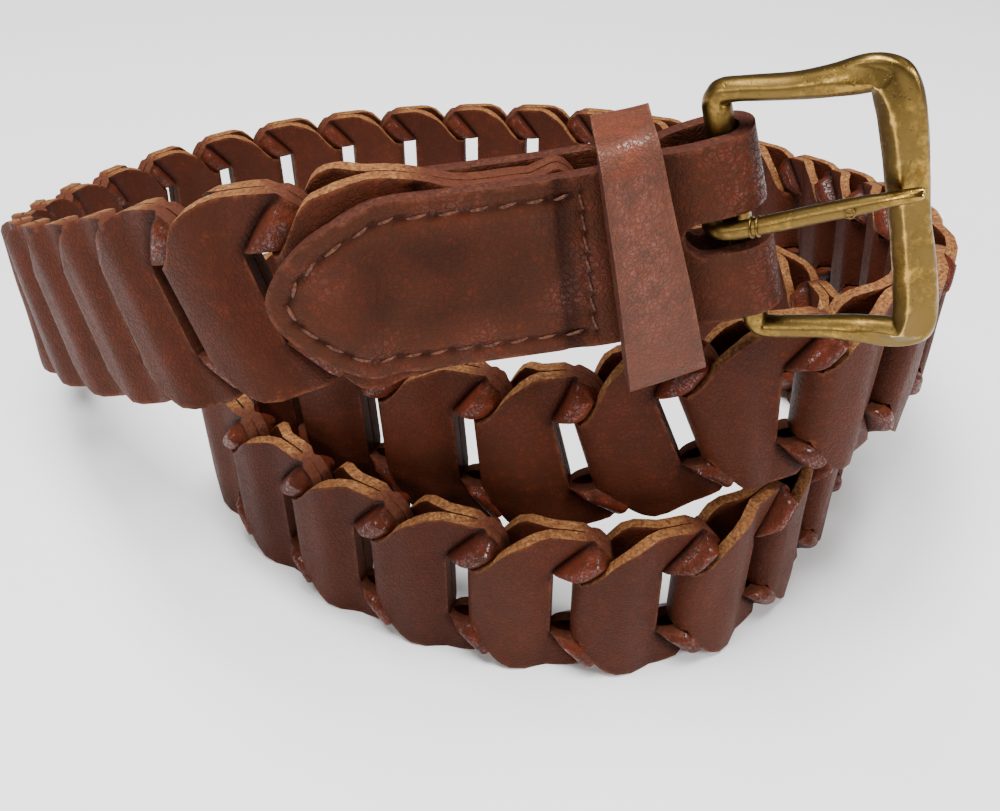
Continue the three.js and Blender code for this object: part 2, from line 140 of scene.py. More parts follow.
def smooth_line(points, steps=80):
    """Many places on the smooth curve through points, evenly loose between near and far ones."""
    points = np.array(points, float) * MM
    ends = [2 * points[0] - points[1], 2 * points[-1] - points[-2]]
    padded = np.vstack([ends[0], points, ends[1]])
    share = np.linspace(0, 1, steps, endpoint=False)[:, None]
    places = []
    for p0, p1, p2, p3 in zip(padded, padded[1:], padded[2:], padded[3:]):
        d0, d1, d2 = [math.sqrt(np.linalg.norm(b - a)) for a, b in ((p0, p1), (p1, p2), (p2, p3))]
        leave = ((p1 - p0) / d0 - (p2 - p0) / (d0 + d1) + (p2 - p1) / d1) * d1
        arrive = ((p2 - p1) / d1 - (p3 - p1) / (d1 + d2) + (p3 - p2) / d2) * d1
        cubic = 2 * p1 - 2 * p2 + leave + arrive
        square = -3 * p1 + 3 * p2 - 2 * leave - arrive
        places.append(p1 + leave * share + square * share**2 + cubic * share**3)
    return np.vstack([*places, points[-1]])


line = smooth_line(ROUTE)
line_distance = np.concatenate([[0], np.cumsum(np.linalg.norm(np.diff(line, axis=0), axis=1))])
line_along = -np.gradient(line, line_distance, axis=0)
line_along /= np.linalg.norm(line_along, axis=1)[:, None]
line[:, 2] = np.maximum(line[:, 2], HALF_WIDTH)


def on_line(distance, out, across):
    """Places at a distance from the heel bar, a distance out and a height across the belt."""
    inside = np.clip(distance, 0, line_distance[-1])
    middle, along = (
        np.stack([np.interp(inside, line_distance, values[:, axis]) for axis in range(3)], axis=1)
        for values in (line, line_along)
    )
    along /= np.linalg.norm(along, axis=1)[:, None]
    middle += along * (inside - distance)[:, None]
    up = np.array([0, 0, 1]) - along * along[:, 2:]
    up /= np.linalg.norm(up, axis=1)[:, None]
    return middle + np.cross(along, up) * out[:, None] + up * across[:, None]


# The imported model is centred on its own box, so the keeper's middle says where the line lies
KEEPER_AT = 13 * MM
KEEPER_WIDTH = 9.5 * MM
KEEPER_ROOM_ABOVE = 2.3 * MM
KEEPER_ROOM_BELOW = 5.6 * MM
KEEPER_ROOM_FRONT = 1.4 * MM
keeper_low, keeper_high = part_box("keeper")
keeper_middle = on_line(
    np.array([KEEPER_AT]),
    np.array([(KEEPER_ROOM_FRONT - GAP) / 2]),
    np.array([(KEEPER_ROOM_ABOVE - KEEPER_ROOM_BELOW) / 2]),
)[0]
line += np.array((keeper_low + keeper_high) / 2) - keeper_middle

# How a link's leather runs from the middle of its fold: round the rims of the link before it,
# over them, and down to its own inner level
FOLD_DEPTH = 2.4 * MM
FOLD_MIDDLE = 1.0 * MM
DROP_START = RIM_END + 2 * GAP
DROP_END = LINK_PITCH - HOLE_WIDTH
SLOT_END = LINK_PITCH + RIM_START
LOBE_END = LINK_PITCH + RIM_END


def ease(value):
    """A smooth step from 0 to 1."""
    value = np.clip(value, 0, 1)
    return value * value * (3 - 2 * value)


def folded_run(end, samples=600):
    """The middle of the leather from the fold to a distance along, as (run, along, out)."""
    turn = np.linspace(0, math.pi / 2, samples)
    fold_along = FOLD_MIDDLE + FOLD_DEPTH * (1 - np.cos(turn))
    fold_out = OUTER_LEVEL * np.sin(turn)
    flat_along = np.linspace(fold_along[-1], end, samples)[1:]
    dropped = ease((flat_along - DROP_START) / (DROP_END - DROP_START))
    flat_out = OUTER_LEVEL + (INNER_LEVEL - OUTER_LEVEL) * dropped
    along = np.concatenate([fold_along, flat_along])
    out = np.concatenate([fold_out, flat_out])
    run = np.concatenate([[0], np.cumsum(np.hypot(np.diff(along), np.diff(out)))])
    return run, along, out


def width_curve(rows):
    """A function for the half width at a share of the pitch, smooth through the rows."""
    along, half = np.array(rows).T
    slope = np.gradient(half, along)
    slope[np.concatenate([[False], np.diff(half)[:-1] * np.diff(half)[1:] <= 0, [False]])] = 0

    def at(share):
        k = np.clip(np.searchsorted(along, share) - 1, 0, len(along) - 2)
        step = along[k + 1] - along[k]
        t = np.clip((share - along[k]) / step, 0, 1)
        return (
            (2 * t**3 - 3 * t**2 + 1) * half[k] + (t**3 - 2 * t**2 + t) * step * slope[k]
            + (3 * t**2 - 2 * t**3) * half[k + 1] + (t**3 - t**2) * step * slope[k + 1]
        )

    return at


WAIST_SHARE = (SLOT_HEIGHT - WAIST_PLAY) / BELT_WIDTH
LOBE_START = LEATHER + GAP
LINK_OUTLINE = {
    "upper": [
        (LOBE_START / LINK_PITCH, WAIST_SHARE + 0.02), (0.24, 0.58), (0.36, 0.76), (0.48, 0.9), (0.6, 0.965),
        (0.78, 1.0), (1.0, 1.0), (1.14, 0.97), (1.27, 0.88), (1.36, 0.7), (1.42, 0.4),
    ],
    "lower": [
        (LOBE_START / LINK_PITCH, WAIST_SHARE + 0.02), (0.21, 0.68), (0.32, 0.86), (0.44, 0.95), (0.58, 0.99),
        (0.75, 1.0), (0.95, 0.98), (1.12, 0.93), (1.27, 0.82), (1.36, 0.64), (1.42, 0.36),
    ],
}
END_ROWS = [
    (LOBE_START / LINK_PITCH, WAIST_SHARE + 0.02),
    (0.24, 0.72),
    (0.36, 0.92),
    (0.5, 0.99),
    (0.8, 1.0),
    (1.06, 0.95),
    (1.36, 0.83),
    (1.9, 0.8),
    (2.3, 0.72),
    (2.35, 0.6),
]
END_OUTLINE = {"upper": END_ROWS, "lower": END_ROWS}


def selected_only(piece):
    """Makes a piece the only selected and active one."""
    bpy.ops.object.select_all(action="DESELECT")
    piece.select_set(True)
    bpy.context.view_layer.objects.active = piece


def apply_modifier(piece, kind, **settings):
    """Adds a modifier with its settings and applies it."""
    selected_only(piece)
    modifier = piece.modifiers.new(kind.lower(), kind)
    for setting, value in settings.items():
        setattr(modifier, setting, value)
    bpy.ops.object.modifier_apply(modifier=modifier.name)


def delete_faces(piece, wanted):
    """Cuts away the faces for which wanted says yes."""
    selected_only(piece)
    bpy.ops.object.mode_set(mode="EDIT")
    bpy.ops.mesh.select_mode(type="FACE")
    bpy.ops.mesh.select_all(action="DESELECT")
    bpy.ops.object.mode_set(mode="OBJECT")
    for face in piece.data.polygons:
        face.select = bool(wanted(face))
    bpy.ops.object.mode_set(mode="EDIT")
    bpy.ops.mesh.delete(type="FACE")
    bpy.ops.object.mode_set(mode="OBJECT")


def coordinates(piece):
    """The places of a piece's vertices, one row each."""
    flat = np.zeros(len(piece.data.vertices) * 3)
    piece.data.vertices.foreach_get("co", flat)
    return flat.reshape(-1, 3)


def move_to(piece, places):
    """Puts a piece's vertices at new places."""
    piece.data.vertices.foreach_set("co", np.asarray(places, float).ravel())
    piece.data.update()


def mark(piece, name, values):
    """Keeps a value for each vertex, for a material to read."""
    attribute = piece.data.attributes.new(name, "FLOAT", "POINT")
    attribute.data.foreach_set("value", np.asarray(values, np.float32))


def columns_between(stops):
    """Evenly spaced numbers through the stops, each given as (value, steps up to the next)."""
    parts = [np.linspace(a, b, steps, endpoint=False) for (a, steps), (b, _) in zip(stops, stops[1:])]
    return np.concatenate([*parts, [stops[-1][0]]])


# Faces that meet at less than this are one smooth surface
SMOOTH_BELOW = math.radians(50)


def thicken(piece, edge_round=0.4 * MM, inner_side=0):
    """Gives flat leather its thickness, with cut sides as its second material."""
    apply_modifier(
        piece, "SOLIDIFY", thickness=LEATHER, offset=0, material_offset_rim=1, material_offset=inner_side
    )
    apply_modifier(
        piece, "BEVEL", width=edge_round, segments=2, limit_method="ANGLE", angle_limit=SMOOTH_BELOW
    )


# How far in from a cut side the leather is rubbed
RUBBED_REACH = 3 * MM


def mark_edges(piece):
    """Marks how near each vertex lies to a cut side, 1 at the side and 0 beyond the rubbed reach."""
    places = coordinates(piece)
    sides = sorted({v for face in piece.data.polygons if face.material_index == 1 for v in face.vertices})
    side_places = places[sides][:, :2]
    nearest = np.array([np.hypot(*(side_places - place[:2]).T).min() for place in places])
    mark(piece, "worn", np.clip(1 - nearest / RUBBED_REACH, 0, 1))


# The crease beside each slot leans towards the buckle, and beyond it the rim bulges out
CREASE_LEAN = 7 / 8.5
CREASE_WIDTH = 0.6 * MM
CREASE_DEPTH = 0.75 * MM
BULGE_WIDTH = 5 * MM
BULGE_FULLNESS = 0.6
BULGE_ROLL = 1.8 * MM
BULGE_DIP = 0.04
BULGE_OVER_SLOT = 1 * MM
BULGE_BLEND = 2.4 * MM

# Cut sides are pale up to the crease, and dark red-brown beyond it and in the slots: dye on the rims, painted
# shade in the slots
PALE_EDGE_END = 17.5 * MM
PALE_EDGE_FADE = 3 * MM
SLOT_SHADE_REACH = 1.2 * MM

# The rows of faces across a link: in the waist and slot, and in each half beside them
INNER_ROWS = 10
OUTER_ROWS = 8
LEAN_ROUNDS = 6


def flat_sheet(name, columns, rows):
    """A grid of columns (its x values) by rows, with the column and row number of each vertex."""
    bpy.ops.mesh.primitive_grid_add(x_subdivisions=len(columns) - 1, y_subdivisions=rows, size=2)
    piece = bpy.context.object
    piece.name = name
    grid = coordinates(piece)
    column = np.rint((grid[:, 0] + 1) / 2 * (len(columns) - 1)).astype(int)
    row = np.rint((grid[:, 1] + 1) / 2 * rows).astype(int) - rows // 2
    return piece, columns[column], row


def cut_link(name, outline, end, slotted):
    """Flat leather for a link: x is the run from the fold, y the width and z the thickness."""
    run, along, _ = folded_run(end)
    upper_at, lower_at = width_curve(outline["upper"]), width_curve(outline["lower"])

    def to_run(place):
        return float(np.interp(place, along, run))

    stops = [(0, 7), (to_run(LOBE_START), 6), (to_run(DROP_START), 7)]
    if slotted:
        stops += [(to_run(DROP_END), 9), (to_run(SLOT_END), 6), (to_run(end), 0)]
    else:
        stops += [(to_run(DROP_END), 14), (to_run(end - 4 * MM), 4), (to_run(end), 0)]
    side = columns_between(stops)
    columns = np.concatenate([-side[:0:-1], side])
    piece, flat_x, row = flat_sheet(name, columns, 2 * OUTER_ROWS + INNER_ROWS)
    upright = np.interp(np.abs(flat_x), run, along)
    leans = np.interp(upright, [DROP_START, DROP_END, LOBE_END], [0, CREASE_LEAN, 0]) * slotted
    inner = np.clip(np.abs(row) / (INNER_ROWS / 2), 0, 1)
    outer = np.clip((np.abs(row) - INNER_ROWS / 2) / OUTER_ROWS, 0, 1)
    # A leaning column meets the outline further along, so its places are found in a few rounds
    place = upright
    for _ in range(LEAN_ROUNDS):
        half = np.where(row > 0, upper_at(place / LINK_PITCH), lower_at(place / LINK_PITCH)) * HALF_WIDTH
        waist = np.interp(upright, [LOBE_START, DROP_END], [WAIST_SHARE * HALF_WIDTH, SLOT_HEIGHT / 2])
        waist = np.minimum(waist, half * 0.9 + 0.1 * WAIST_SHARE * HALF_WIDTH)
        waist = np.where(upright < LOBE_START, WAIST_SHARE * HALF_WIDTH, waist)
        width = waist * inner + (half - waist) * outer
        place = upright + leans * np.maximum(width - waist, 0)
    leaning_x = np.sign(flat_x) * np.interp(place, along, run)
    flat_x = np.where(place > upright, leaning_x, flat_x)
    move_to(piece, np.stack([flat_x, np.sign(row) * width, np.zeros(len(row))], axis=1))
    lobe_run = to_run(LOBE_START)
    slot_runs = (to_run(DROP_END), to_run(SLOT_END))
    in_middle = np.abs(row) <= INNER_ROWS / 2

    def cut_away(face):
        x = abs(face.center.x)
        middle_rows = all(in_middle[v] for v in face.vertices)
        in_slot = slotted and slot_runs[0] < x < slot_runs[1] and middle_rows
        return in_slot or (x < lobe_run and not middle_rows)

    delete_faces(piece, cut_away)
    for material in (link_leather, raw_edge):
        piece.data.materials.append(material)
    thicken(piece)
    mark_edges(piece)
    flat = coordinates(piece)
    from_fold = np.interp(np.abs(flat[:, 0]), run, along)
    # Cut sides in a slot are marked for painted shade, and those past the crease for dye
    in_slot = 1 - ease((np.abs(flat[:, 1]) - SLOT_HEIGHT / 2) / SLOT_SHADE_REACH)
    past_crease = ease((from_fold - PALE_EDGE_END) / PALE_EDGE_FADE)
    mark(piece, "inner", np.maximum(in_slot, past_crease))
    return piece


def rim_bulge(along, across, height, half_at):
    """How far a link's rim stands out beside the crease that runs from its slot's corner."""
    past_slot = np.abs(across) - SLOT_HEIGHT / 2
    outside = np.maximum(past_slot, -BULGE_OVER_SLOT)
    beside = (along - DROP_END - CREASE_LEAN * outside) / math.hypot(1, CREASE_LEAN)
    over_slot = ease((past_slot + BULGE_OVER_SLOT) / BULGE_BLEND)
    to_edge = half_at(along / LINK_PITCH) * HALF_WIDTH - np.abs(across)
    over_edge = ease(to_edge / BULGE_ROLL) * (1 + BULGE_DIP) - BULGE_DIP
    swell = np.sin(math.pi * np.clip(beside / BULGE_WIDTH, 0, 1)) ** BULGE_FULLNESS * height
    groove = np.exp(-((beside / CREASE_WIDTH) ** 2)) * CREASE_DEPTH
    return (swell * over_edge - groove * (beside > -2 * CREASE_WIDTH)) * over_slot


# A rim gets coat gloss and a painted highlight from this height on, and painted shade darkens its crease from
# this depth on
GLOSS_AND_HIGHLIGHT_HEIGHT = 1.4 * MM
CREASE_SHADE_DEPTH = 0.3 * MM

# A link's free leather waves a little, differently on each side and on each link. The waves
# are counted in a metre, along and across the belt.
WAVE_HEIGHT = 0.5 * MM
WAVES_ALONG = 90
WAVES_ACROSS = 70


def fold_on_line(piece, outline, fold_at, end, height, seed):
    """Folds flat link leather round the rims of the link before it and lays it on the line."""
    run, along_of, out_of = folded_run(end)
    flat = coordinates(piece)
    side = np.where(flat[:, 0] < 0, -1, 1)
    distance = np.abs(flat[:, 0])
    along = np.interp(distance, run, along_of)
    out = np.interp(distance, run, out_of)
    step = 0.2 * MM
    along_ahead, along_behind = (np.interp(distance + s, run, along_of) for s in (step, -step))
    out_ahead, out_behind = (np.interp(distance + s, run, out_of) for s in (step, -step))
    length = np.hypot(along_ahead - along_behind, out_ahead - out_behind)
    at_fold = distance < step
    normal_along = np.where(at_fold, -1, -(out_ahead - out_behind) / length)
    normal_out = np.where(at_fold, 0, (along_ahead - along_behind) / length)
    swell = rim_bulge(along, flat[:, 1], height, width_curve(outline["lower"]))
    # The rim's bulge gets coat gloss and a painted highlight, and its crease gets painted shade
    mark(piece, "gloss_and_painted_highlight", np.clip(swell / GLOSS_AND_HIGHLIGHT_HEIGHT, 0, 1))
    mark(piece, "stain_and_painted_shade", np.clip(-swell / CREASE_SHADE_DEPTH, 0, 1))
    along = along + normal_along * flat[:, 2]
    out = side * (out + normal_out * flat[:, 2] + swell)
    wave = np.array([
        noise.noise(Vector((a * WAVES_ALONG, b * WAVES_ACROSS, seed * 3.7 + s)))
        for a, b, s in zip(along, flat[:, 1], side)
    ])
    free = ease((along - LOBE_START) / (4 * MM)) * ease((DROP_END - along) / (3 * MM))
    out = out + side * np.maximum(wave, -0.15) * WAVE_HEIGHT * free
    move_to(piece, on_line(fold_at - along, out, flat[:, 1]))


class Signal:
    """A value in a material's nodes. Sums and products of such values add their Math nodes.

    One without a socket is the start of a material, and only makes nodes.
    """

    def __init__(self, tree, socket=None):
        self.tree = tree
        self.socket = socket

    def node(self, kind, settings=(), inputs=(), output=0):
        """Any node: its settings first, then the values or links of its sockets."""
        made = self.tree.nodes.new(kind)
        for setting, value in dict(settings).items():
            setattr(made, setting, value)
        for socket, value in dict(inputs).items():
            if isinstance(value, Signal):
                self.tree.links.new(value.socket, made.inputs[socket])
            else:
                made.inputs[socket].default_value = value
        return Signal(self.tree, made.outputs[output])

    def math(self, operation, *others):
        """A Math node of this value and the others."""
        return self.node("ShaderNodeMath", {"operation": operation}, enumerate((self, *others)))

    def __add__(self, other):
        return self.math("ADD", other)

    def __sub__(self, other):
        return self.math("SUBTRACT", other)

    def __rsub__(self, other):
        return self.node("ShaderNodeMath", {"operation": "SUBTRACT"}, {0: other, 1: self})

    def __mul__(self, other):
        return self.math("MULTIPLY", other)

    __radd__ = __add__
    __rmul__ = __mul__

    def rise(self, low, high):
        """0 below low and 1 above high, with a smooth rise between."""
        return self.node(
            "ShaderNodeMapRange",
            {"interpolation_type": "SMOOTHSTEP"},
            {"Value": self, "From Min": low, "From Max": high},
        )

    def blend(self, first, second):
        """The first colour where this is 0 and the second where it is 1."""
        return self.node("ShaderNodeMix", {"data_type": "RGBA"}, {0: self, 6: first, 7: second}, output=2)

    def fractal(self, scale, detail, roughness=0.5, output=0, **more):
        """Cloudy noise at this place."""
        values = {"Vector": self, "Scale": scale, "Detail": detail, "Roughness": roughness, **more}
        return self.node("ShaderNodeTexNoise", inputs=values, output=output)

    def marked(self, name):
        """What a piece's vertices keep under a name."""
        return self.node("ShaderNodeAttribute", {"attribute_name": name}, output="Fac")


def new_material(name, metallic=0.0, specular=0.5):
    """A material, its nodes as a Signal, and the shader that it ends in."""
    material = bpy.data.materials.new(name)
    material.use_nodes = True
    shader = material.node_tree.nodes["Principled BSDF"]
    shader.inputs["Metallic"].default_value = metallic
    shader.inputs["Specular IOR Level"].default_value = specular
    return material, Signal(material.node_tree), shader


def connect(start, shader, **links):
    """Links signals to the shader's sockets, which are named with _ for each space."""
    for socket, signal in links.items():
        start.tree.links.new(signal.socket, shader.inputs[socket.replace("_", " ")])


# The share of the scuff's colour that the wax's wear gives all of a leather's face
WORN_SHARE = 0.2


def leather(name, dark, middle, bright, scuff, rough, grain_size=0.9 * MM, wear=0.5, shine=0.14):
    """Waxed leather: fine grain, blotches where the wax has moved, and rubbed edges.

    Noise scales count its clouds in a metre, from blotches of a centimetre to pores.
    """
    material, start, shader = new_material(name, specular=shine)
    place = start.node("ShaderNodeTexCoord", output="Object")
    worn, gloss_and_painted_highlight, stain_and_painted_shade, tone = (start.marked(kept) for kept in ("worn", "gloss_and_painted_highlight", "stain_and_painted_shade", "tone"))
    deep, deepest = ((*(share * part for part in dark), 1) for share in (0.55, 0.5))
    blotch = place.fractal(95, 5, 0.6)
    mottle = place.fractal(520, 4, 0.7)
    warped = start.node(
        "ShaderNodeVectorMath",
        {"operation": "MULTIPLY_ADD"},
        {0: place.fractal(800, 2, output="Color"), 1: (0.9 * MM, 0.9 * MM, 0.9 * MM), 2: place},
    )
    cells = start.node(
        "ShaderNodeTexVoronoi", {"feature": "DISTANCE_TO_EDGE"}, {"Vector": warped, "Scale": 1 / grain_size}
    )
    pore = warped.fractal(2600, 3, 0.6)
    pleat = place.fractal(210, 6, 0.65, Distortion=1.3)
    creased = 1 - cells.rise(0.0, 0.16)
    wrinkle = 1 - (pleat - 0.5).math("ABSOLUTE").rise(0.0, 0.022)
    rubbed = (worn.rise(0.72, 1.0) * mottle.rise(0.4, 0.6)) * wear

    colour = (blotch * 0.65 + mottle * 0.35).rise(0.36, 0.66).blend((*dark, 1), (*middle, 1))
    colour = ((1 - creased) * mottle.rise(0.5, 0.75) * 0.55).blend(colour, (*bright, 1))
    colour = (creased * 0.28).blend(colour, deepest)
    colour = start.node(
        "ShaderNodeMix", {"data_type": "RGBA"}, {0: WORN_SHARE, 6: colour, 7: (*scuff, 1)}, output=2
    )
    colour = rubbed.blend(colour, (*scuff, 1))
    # Painted highlight: the colour turns bright where the gloss mark is, on link rims, the strap's turn and
    # the keeper's front
    colour = (gloss_and_painted_highlight * mottle.rise(0.35, 0.6) * 0.7).blend(colour, (*bright, 1))
    colour = tone.blend(colour, (*dark, 1))
    # Painted shade in link creases and stitch holes, with the tab's real darker middle and its pressed band:
    # the colour darkens where the stain mark is
    colour = (stain_and_painted_shade * (mottle * 0.5 + 0.6)).blend(colour, deep)
    roughness = mottle * 0.22 + (blotch * -0.16 + (rough + 0.08)) + creased * 0.1
    height = pore * 0.25 + (1 - creased) * 0.55 + wrinkle * 0.12 + mottle * 0.5
    bump = start.node("ShaderNodeBump", inputs={"Strength": 0.6, "Distance": 0.2 * MM, "Height": height})
    shader.inputs["Coat Roughness"].default_value = 0.24
    connect(
        start, shader, Base_Color=colour, Roughness=roughness, Normal=bump,
        Coat_Weight=gloss_and_painted_highlight * (1 - creased) * pore.rise(0.42, 0.6) * (mottle.rise(0.35, 0.6) * 0.6 + 0.3),
    )
    return material


# The dark red-brown on cut sides that lie in a slot or on the inside: dye on the rims, and painted shade in
# the slots
DYE_AND_SHADE_EDGE = (0.055, 0.009, 0.004)


def raw_leather(name, dark, tan, pale):
    """A cut side of leather: rough tan fibres, dark red-brown where the side lies in a slot or inside, for dye
    on the rims and painted shade in the slots.
    """
    material, start, shader = new_material(name, specular=0.2)
    place = start.node("ShaderNodeTexCoord", output="Object")
    fibre = place.fractal(1700, 5, 0.75)
    patch = place.fractal(330, 4, 0.6)
    colour = fibre.rise(0.32, 0.66).blend((*dark, 1), (*tan, 1))
    colour = (patch.rise(0.45, 0.7) * fibre.rise(0.45, 0.75)).blend(colour, (*pale, 1))
    # Painted shade on slot sides and dye on rim sides: the colour turns dark red-brown where the inner mark is
    colour = (start.marked("inner") * 0.85).blend(colour, (*DYE_AND_SHADE_EDGE, 1))
    bump = start.node(
        "ShaderNodeBump", inputs={"Strength": 0.8, "Distance": 0.25 * MM, "Height": fibre + patch * 0.6}
    )
    connect(start, shader, Base_Color=colour, Roughness=fibre * 0.2 + 0.62, Normal=bump)
    return material


link_leather = leather(
    "link_leather", dark=(0.018, 0.0025, 0.0016), middle=(0.043, 0.0056, 0.0028),
    bright=(0.11, 0.017, 0.006), scuff=(0.18, 0.055, 0.022), rough=0.36, shine=0.07,
)
raw_edge = raw_leather("raw_edge", dark=(0.07, 0.02, 0.008), tan=(0.25, 0.105, 0.032), pale=(0.42, 0.24, 0.09))
burnished = raw_leather(
    "burnished_edge", dark=(0.03, 0.007, 0.004), tan=(0.07, 0.016, 0.007), pale=(0.15, 0.05, 0.02)
)

# The rims bulge less on the coil's top turn, and the first links are paler than the rest
LINK_BULGE = 2.7 * MM
TOP_TURN_BULGE = 1.2 * MM
TOP_TURN_LINKS = 22
PALER_LINKS = 9
DARKEST_TONE = 0.35
DARKEST_PALE_TONE = 0.05


def own_copy(piece, name):
    """A copy of a piece with its own mesh."""
    copy = piece.copy()
    copy.data = piece.data.copy()
    copy.name = name
    bpy.context.scene.collection.objects.link(copy)
    return copy


flat_link = cut_link("flat_link", LINK_OUTLINE, LOBE_END, slotted=True)
for number in range(1, LINK_COUNT + 1):
    link = own_copy(flat_link, f"woven_link_{number:02d}")
    bulge = TOP_TURN_BULGE if number <= TOP_TURN_LINKS else LINK_BULGE
    fold_on_line(link, LINK_OUTLINE, STRAP_LENGTH + number * LINK_PITCH, LOBE_END, bulge, number)
    tone = random.Random(number).uniform(0, DARKEST_TONE if number > PALER_LINKS else DARKEST_PALE_TONE)
    mark(link, "tone", [tone] * len(link.data.vertices))
    selected_only(link)
    bpy.ops.object.shade_smooth_by_angle(angle=SMOOTH_BELOW)
    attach(link, "belt")
    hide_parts(f"link_{number:02d}")
bpy.data.objects.remove(flat_link)

# The end link
# The piece that joins the strap to the links: a link's waist and fold, with two long layers
# that are stitched in between the layers of the strap.
END_LINK_LENGTH = 42 * MM

end_link = cut_link("end_piece", END_OUTLINE, END_LINK_LENGTH, slotted=False)
fold_on_line(end_link, END_OUTLINE, STRAP_LENGTH, END_LINK_LENGTH, 0, 0)
selected_only(end_link)
bpy.ops.object.shade_smooth_by_angle(angle=SMOOTH_BELOW)
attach(end_link, "belt")
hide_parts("end_link")

# The strap
# One long piece of smooth leather, folded round the heel bar. Its outer end is cut to a point
# and stitched over the end link, and a slot in the fold lets the tongue through.
STRAP_WIDTH = 27 * MM
HALF_STRAP = STRAP_WIDTH / 2
TAB_LEVEL = OUTER_LEVEL + LEATHER + GAP
TAB_OVERHANG = 1 * MM
BACK_LAYER_END = 15 * MM
BACK_END_TAPER = 4 * MM
TONGUE_SLOT_HEIGHT = 5.4 * MM
TONGUE_SLOT_LENGTH = 7.5 * MM
TAB_LIES_TO = RIM_END + GAP + LEATHER / 2
PINCH = 1.3 * MM
PINCH_FROM = 43 * MM
PINCH_TO = 60 * MM
TAB_POINT = [
    (0.0, 0.05), (0.012, 0.13), (0.04, 0.22), (0.1, 0.35), (0.28, 0.6), (0.58, 0.86), (1.0, 0.985), (1.6, 1.0),
]
TAB_POINT_LENGTH = TAB_OVERHANG + DROP_END
RUN_SAMPLES = 500


def strap_run():
    """The middle of the strap's leather from the tab's tip to its inner end."""
    front = np.linspace(-TAB_OVERHANG, STRAP_LENGTH, RUN_SAMPLES)
    dropped = ease((front - TAB_LIES_TO) / (DROP_END - TAB_LIES_TO))
    pinched = np.sin(math.pi * np.clip((front - PINCH_FROM) / (PINCH_TO - PINCH_FROM), 0, 1)) ** 2 * PINCH
    front_out = TAB_LEVEL + (OUTER_LEVEL - TAB_LEVEL) * dropped - pinched
    turn = np.linspace(math.pi / 2, -math.pi / 2, RUN_SAMPLES)[1:-1]
    back = np.linspace(STRAP_LENGTH, BACK_LAYER_END, RUN_SAMPLES)
    back_pinched = np.interp(back, front, pinched)
    along = np.concatenate([front, STRAP_LENGTH + OUTER_LEVEL * np.cos(turn), back])
    out = np.concatenate([front_out, OUTER_LEVEL * np.sin(turn), back_pinched - OUTER_LEVEL])
    run = np.concatenate([[0], np.cumsum(np.hypot(np.diff(along), np.diff(out)))])
    return run, along, out


strap_runs, strap_along, strap_out = strap_run()
strap_normal_along = -np.gradient(strap_out, strap_runs)
strap_normal_out = np.gradient(strap_along, strap_runs)
TURN_RUN = math.pi * OUTER_LEVEL
FRONT_RUN = float(np.interp(STRAP_LENGTH, strap_along[:RUN_SAMPLES], strap_runs[:RUN_SAMPLES]))
SLOT_FROM_RUN = FRONT_RUN - TONGUE_SLOT_LENGTH
SLOT_TO_RUN = FRONT_RUN + TURN_RUN + TONGUE_SLOT_LENGTH
LAST_RUN = float(strap_runs[-1])
tab_half = width_curve(TAB_POINT)


def strap_half(run_place):
    """The strap's half width at a run from the tab's tip."""
    half = tab_half(np.clip(run_place / TAB_POINT_LENGTH, 0, TAB_POINT[-1][0])) * HALF_STRAP
    return half * (1 - 0.2 * ease((run_place - LAST_RUN + BACK_END_TAPER) / BACK_END_TAPER))


# The saddle stitches follow the tab's edge, and cross the strap beside the keeper
SEAM_INSET = 2.7 * MM
SEAM_END = 42 * MM
STITCH_PITCH = 3.7 * MM
CROSS_SEAM = 43 * MM
CROSS_SEAM_INSET = 2.2 * MM
PRESSED_FROM = 38.2 * MM
PRESSED_TO = 42.2 * MM


def seam_line():
    """The line of stitches on the tab, as run and across, from the keeper round to the keeper."""
    point_run = np.linspace(0, 1, 160) ** 2 * TAB_POINT_LENGTH
    edge_run = np.concatenate([point_run, np.linspace(TAB_POINT_LENGTH, SEAM_END, 160)[1:]])
    edge = np.stack([edge_run, strap_half(edge_run)], axis=1)
    direction = np.gradient(edge, axis=0)
    direction /= np.linalg.norm(direction, axis=1)[:, None]
    inset = edge + SEAM_INSET * np.stack([direction[:, 1], -direction[:, 0]], axis=1)
    inset = inset[inset[:, 1] > 0.4 * MM]
    return np.concatenate([inset[::-1], inset * [1, -1]])


seam = seam_line()
cross_end = float(strap_half(np.array([CROSS_SEAM]))[0]) - CROSS_SEAM_INSET
cross_seam = np.array([[CROSS_SEAM, -cross_end], [CROSS_SEAM, cross_end]])


def stitch_places(line_places, pitch):
    """The middle and the direction of each stitch along a line on the strap."""
    length = np.concatenate([[0], np.cumsum(np.linalg.norm(np.diff(line_places, axis=0), axis=1))])
    count = int(length[-1] / pitch)
    places = []
    for number in range(count):
        middle = (number + 0.5) * length[-1] / count
        here, ahead = (
            np.array([np.interp(m, length, line_places[:, axis]) for axis in (0, 1)])
            for m in (middle - 0.1 * MM, middle + 0.1 * MM)
        )
        places.append(((here + ahead) / 2, (ahead - here) / np.linalg.norm(ahead - here)))
    return places


stitch_middles = stitch_places(seam, STITCH_PITCH) + stitch_places(cross_seam, STITCH_PITCH * 0.85)


def from_points(places, points):
    """How far flat places on the strap lie from the nearest of some points."""
    return np.array([np.hypot(*(points - place).T).min() for place in places])


def on_strap(flat):
    """Flat places of the strap, as run, across and height over its middle, laid on the line."""
    along, out, normal_along, normal_out = (
        np.interp(flat[:, 0], strap_runs, values)
        for values in (strap_along, strap_out, strap_normal_along, strap_normal_out)
    )
    along = along + normal_along * flat[:, 2]
    return on_line(STRAP_LENGTH - along, out + normal_out * flat[:, 2], flat[:, 1])


tab_leather = leather(
    "tab_leather", dark=(0.01, 0.0014, 0.001), middle=(0.036, 0.0036, 0.0014), bright=(0.11, 0.014, 0.0035),
    scuff=(0.22, 0.08, 0.04), rough=0.3, wear=0.3, shine=0.05,
)

